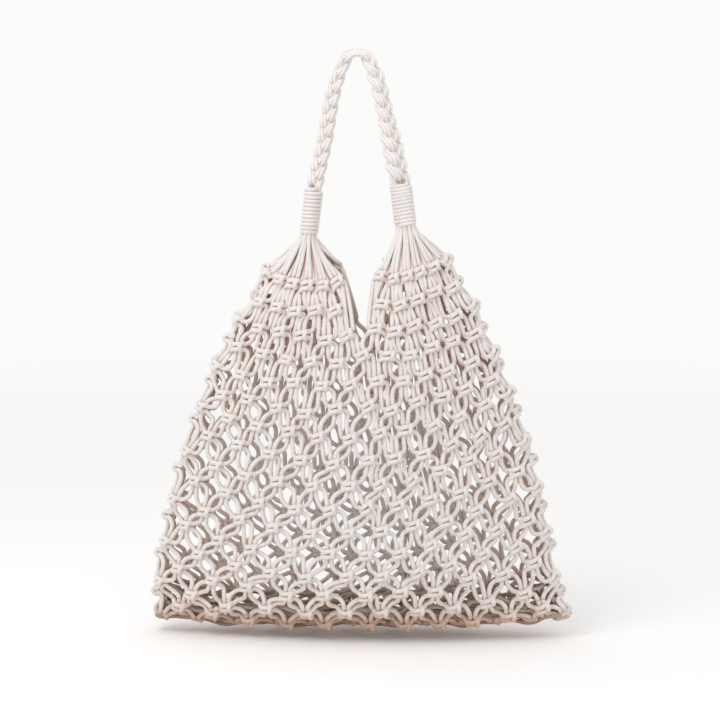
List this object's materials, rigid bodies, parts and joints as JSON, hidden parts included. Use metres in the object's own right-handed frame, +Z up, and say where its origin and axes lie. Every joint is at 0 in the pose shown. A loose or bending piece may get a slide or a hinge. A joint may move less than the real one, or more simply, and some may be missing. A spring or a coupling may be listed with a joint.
{
  "type": "net bag",
  "caption": "Open knotted cotton net tote with a split mouth, two cord-bound shoulders and one braided carrying handle.",
  "frame": {"origin": "place under the top of the handle's bend where the bag hangs on a hook or in a hand", "axes": "+Z up, -Y the front of the bag, +X to the right of the front"},
  "size_m": [0.3822, 0.1088, 0.5189],
  "materials": {
    "knotted_cotton": "soft matt cotton cord with a fine plait",
    "wrapped_cotton": "soft matt cotton cord wound in close turns",
    "braided_cotton": "soft matt cotton cord, braided",
    "gathered_cotton": "soft matt cotton cord drawn together"
  },
  "bodies": {
    "root": {"net_front_left": "knotted_cotton", "net_front_right": "knotted_cotton", "net_back_left": "knotted_cotton", "net_back_right": "knotted_cotton", "net_base": "knotted_cotton", "gathered_cords_left": "gathered_cotton", "gathered_cords_right": "gathered_cotton", "wrap_left": "wrapped_cotton", "wrap_right": "wrapped_cotton", "handle_strand_1": "braided_cotton", "handle_strand_2": "braided_cotton", "handle_strand_3": "braided_cotton"}
  },
  "joints": []
}
